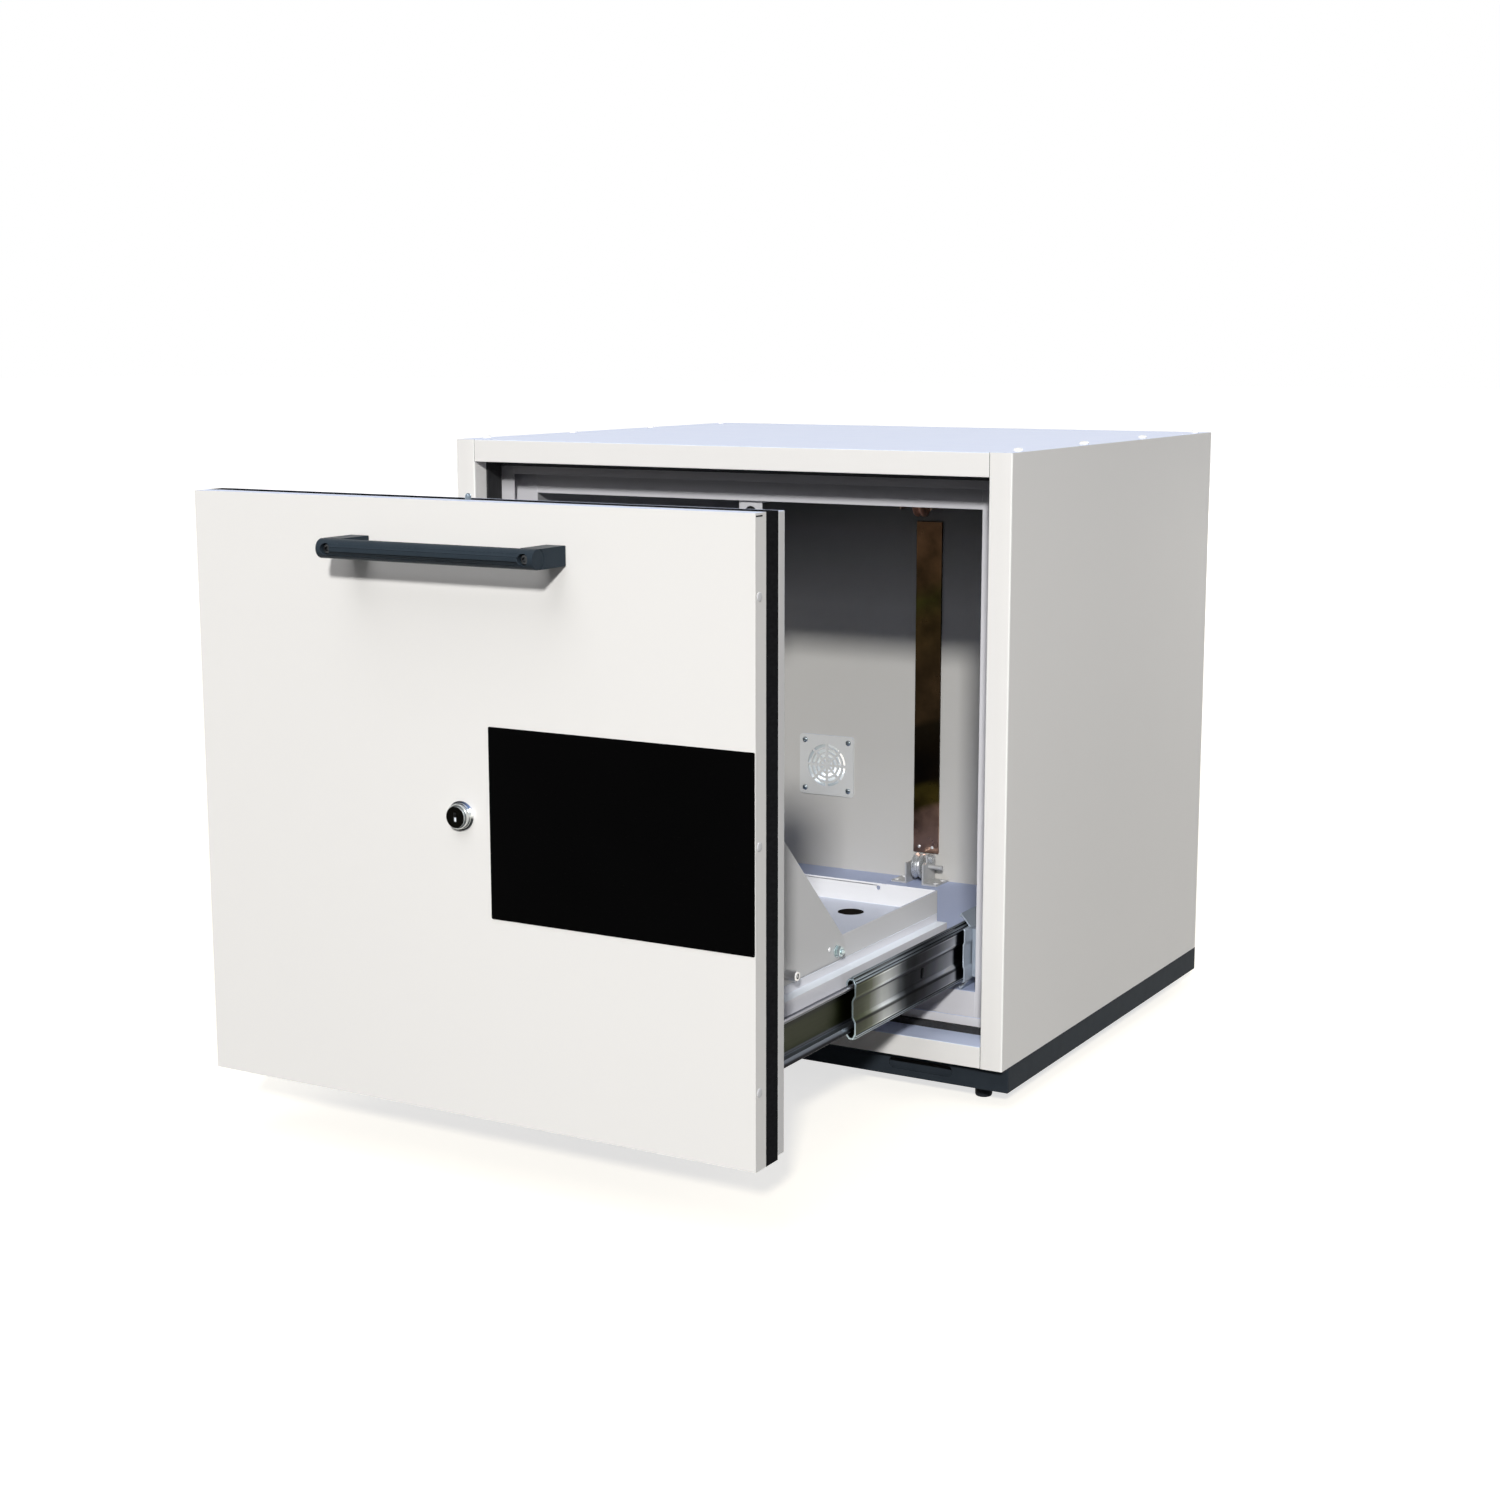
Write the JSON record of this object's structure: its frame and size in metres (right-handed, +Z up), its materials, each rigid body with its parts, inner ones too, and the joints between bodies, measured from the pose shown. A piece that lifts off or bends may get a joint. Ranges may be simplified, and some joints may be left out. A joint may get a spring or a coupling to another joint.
{
  "type": "underbench safety cabinet",
  "caption": "Low fire-resistant storage cabinet on a plinth, with a thick-fronted full-width drawer on ball slides, a spill tray, a bar handle, a cylinder lock and a rear extract duct.",
  "frame": {"origin": "centre of the footprint of the whole cabinet with its drawer out, on the floor under the feet", "axes": "+X to the right as seen from the front, +Y to the back, +Z up; the drawer comes out towards -Y"},
  "size_m": [0.6, 0.9862, 0.6],
  "materials": {
    "case_board": "white melamine-faced board, satin",
    "white_coat": "white powder coat on sheet steel, satin",
    "liner_coat": "light grey coat on sheet steel, satin",
    "fire_board": "mineral fire board, matt",
    "core_black": "black board edge, matt",
    "seal_black": "black swelling fire seal, matt",
    "plinth_coat": "anthracite powder coat, fine texture",
    "foot_plastic": "dark plastic, matt",
    "handle_coat": "blue-black powder coat, satin",
    "slide_zinc": "zinc-plated rolled steel",
    "bright_steel": "bright zinc plate, polished",
    "cover_bronze": "brown anodised strip, glossy",
    "lock_black": "black lock face, semi-gloss"
  },
  "bodies": {
    "case": {"side_panel_left": "case_board", "side_panel_right": "case_board", "top_panel": "case_board", "bottom_panel": "case_board", "rear_panel": "case_board", "fire_board_left": "fire_board", "fire_board_right": "fire_board", "fire_board_bottom": "fire_board", "fire_board_top": "fire_board", "fire_board_rear": "fire_board", "liner_left": "liner_coat", "liner_right": "liner_coat", "liner_floor": "liner_coat", "liner_ceiling": "liner_coat", "liner_back": "liner_coat", "rebate_left": "white_coat", "rebate_right": "white_coat", "rebate_bottom": "white_coat", "rebate_top": "white_coat", "rebate_seal": "seal_black", "plinth_front": "plinth_coat", "plinth_rear": "plinth_coat", "plinth_left": "plinth_coat", "plinth_right": "plinth_coat", "vent_grille": "liner_coat", "exhaust_spigot": "slide_zinc", "cover_strip": "cover_bronze", "pulley_bracket_left": "slide_zinc", "pulley_bracket_right": "slide_zinc", "upper_pulley_fork": "slide_zinc", "catch_bracket": "white_coat", "slide_outer_left": "slide_zinc", "slide_outer_right": "slide_zinc", "slide_mount_left": "slide_zinc", "slide_mount_right": "slide_zinc"},
    "drawer": {"front_pan": "white_coat", "front_core": "core_black", "front_back_plate": "white_coat", "handle_bar": "handle_coat", "handle_post_left": "handle_coat", "handle_post_right": "handle_coat", "lock_housing": "bright_steel", "carriage": "white_coat", "spill_tray": "white_coat", "gusset_left": "white_coat", "gusset_right": "white_coat", "slide_inner_left": "bright_steel", "slide_inner_right": "bright_steel"},
    "slide_middle_left": {"slide_middle_left": "bright_steel"},
    "slide_middle_right": {"slide_middle_right": "bright_steel"},
    "lock_barrel": {"lock_barrel": "lock_black"},
    "lock_bolt": {"lock_bolt": "bright_steel"},
    "rope_pulley_lower": {"rope_pulley_lower": "bright_steel"},
    "rope_pulley_upper": {"rope_pulley_upper": "bright_steel"},
    "guide_roller": {"guide_roller": "bright_steel"},
    "foot_front_left": {"levelling_foot_front_left": "foot_plastic"},
    "foot_front_right": {"levelling_foot_front_right": "foot_plastic"},
    "foot_rear_left": {"levelling_foot_rear_left": "foot_plastic"},
    "foot_rear_right": {"levelling_foot_rear_right": "foot_plastic"}
  },
  "joints": [
    {"name": "drawer_slide", "type": "slide", "parent": "case", "child": "drawer", "axis": [0, 1, 0], "range_m": [0, 0.4]},
    {"name": "middle_slide_left", "type": "slide", "parent": "case", "child": "slide_middle_left", "axis": [0, 1, 0], "range_m": [0, 0.2132]},
    {"name": "middle_slide_right", "type": "slide", "parent": "case", "child": "slide_middle_right", "axis": [0, 1, 0], "range_m": [0, 0.2132]},
    {"name": "lock_turn", "type": "hinge", "parent": "drawer", "child": "lock_barrel", "pos_m": [0, -0.44765, 0.31995], "axis": [0, 1, 0], "range_deg": [0, 90]},
    {"name": "bolt_lift", "type": "slide", "parent": "drawer", "child": "lock_bolt", "axis": [0, 0, 1], "range_m": [0, 0.0068]},
    {"name": "lower_pulley_spin", "type": "hinge", "parent": "case", "child": "rope_pulley_lower", "pos_m": [-0.0003, 0.4016, 0.1126], "axis": [1, 0, 0], "continuous": true},
    {"name": "upper_pulley_spin", "type": "hinge", "parent": "case", "child": "rope_pulley_upper", "pos_m": [-0.0003, 0.3956, 0.5193], "axis": [1, 0, 0], "continuous": true},
    {"name": "guide_roller_spin", "type": "hinge", "parent": "case", "child": "guide_roller", "pos_m": [0.0142, 0.4016, 0.1218], "axis": [1, 0, 0], "continuous": true},
    {"name": "foot_turn_front_left", "type": "hinge", "parent": "case", "child": "foot_front_left", "pos_m": [-0.262, 0.00055, 0], "axis": [0, 0, 1], "continuous": true},
    {"name": "foot_turn_front_right", "type": "hinge", "parent": "case", "child": "foot_front_right", "pos_m": [0.262, 0.00055, 0], "axis": [0, 0, 1], "continuous": true},
    {"name": "foot_turn_rear_left", "type": "hinge", "parent": "case", "child": "foot_rear_left", "pos_m": [-0.262, 0.42715, 0], "axis": [0, 0, 1], "continuous": true},
    {"name": "foot_turn_rear_right", "type": "hinge", "parent": "case", "child": "foot_rear_right", "pos_m": [0.262, 0.42715, 0], "axis": [0, 0, 1], "continuous": true}
  ],
  "couplings": [
    {"joint": "middle_slide_left", "follows": "drawer_slide", "ratio": 0.533},
    {"joint": "middle_slide_right", "follows": "drawer_slide", "ratio": 0.533},
    {"joint": "bolt_lift", "follows": "lock_turn", "m_per_rad": 0.0038197}
  ]
}
